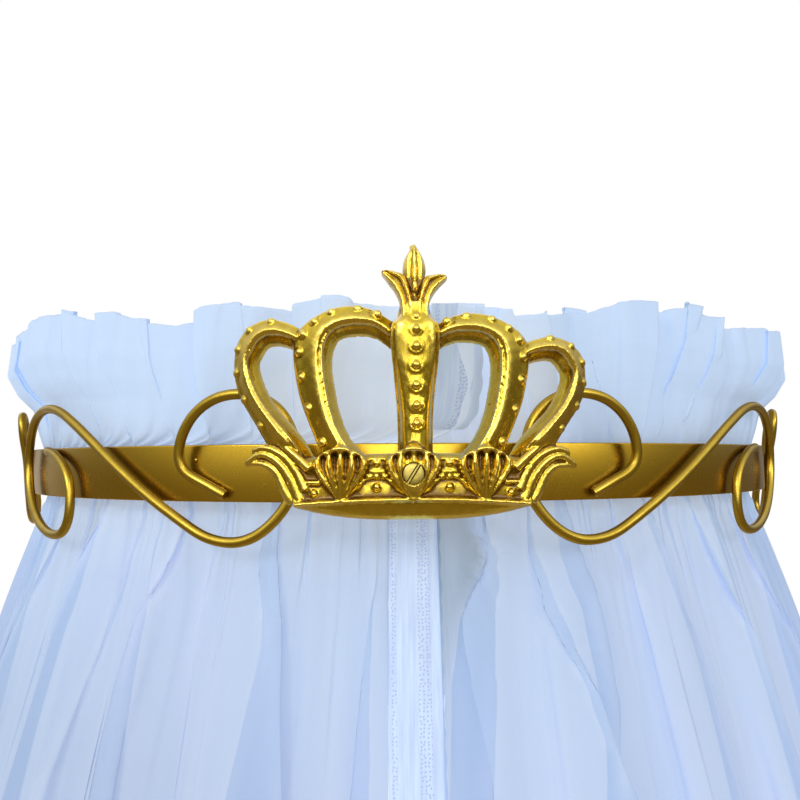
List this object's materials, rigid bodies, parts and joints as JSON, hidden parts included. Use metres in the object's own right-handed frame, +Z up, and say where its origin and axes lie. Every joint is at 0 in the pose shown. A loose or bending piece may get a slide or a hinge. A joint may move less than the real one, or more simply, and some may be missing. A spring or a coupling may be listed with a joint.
{
  "type": "bed crown canopy",
  "caption": "Wall-hung half-round bed canopy with a cast crown, rod scrolls and gathered voile panels on a lift-out rod.",
  "frame": {"origin": "on the wall plane, midway between the two wall ears, at the middle of the band's height", "axes": "+Z up, -Y out of the wall towards the room, +X to the right of a person who faces the crown"},
  "size_m": [0.793, 0.4059, 1.7957],
  "materials": {
    "gold_paint": "semi-gloss gold paint over steel",
    "cast_gold": "gold lacquer over cast aluminium, bright on the ridges",
    "slotted_brass": "satin brass",
    "zinc_steel": "zinc plated",
    "voile": "sheer white voile",
    "lace": "white embroidered lace"
  },
  "bodies": {
    "frame": {"half_round_band": "gold_paint", "front_scroll_left": "gold_paint", "front_scroll_right": "gold_paint", "side_scroll_left": "gold_paint", "side_scroll_right": "gold_paint", "crown_casting": "cast_gold", "crown_spacer": "gold_paint", "crown_screw": "slotted_brass", "crown_washer": "zinc_steel", "crown_nut": "zinc_steel", "rod_hook_front": "gold_paint", "rod_hook_left": "gold_paint", "rod_hook_right": "gold_paint"},
    "curtain_set": {"curtain_rod": "zinc_steel", "curtain_panel_left": "voile", "curtain_panel_right": "voile", "lace_trim": "lace"}
  },
  "joints": [
    {"name": "rod_lift", "type": "slide", "parent": "frame", "child": "curtain_set", "axis": [0, 0, 1], "range_m": [0, 0.012]}
  ]
}
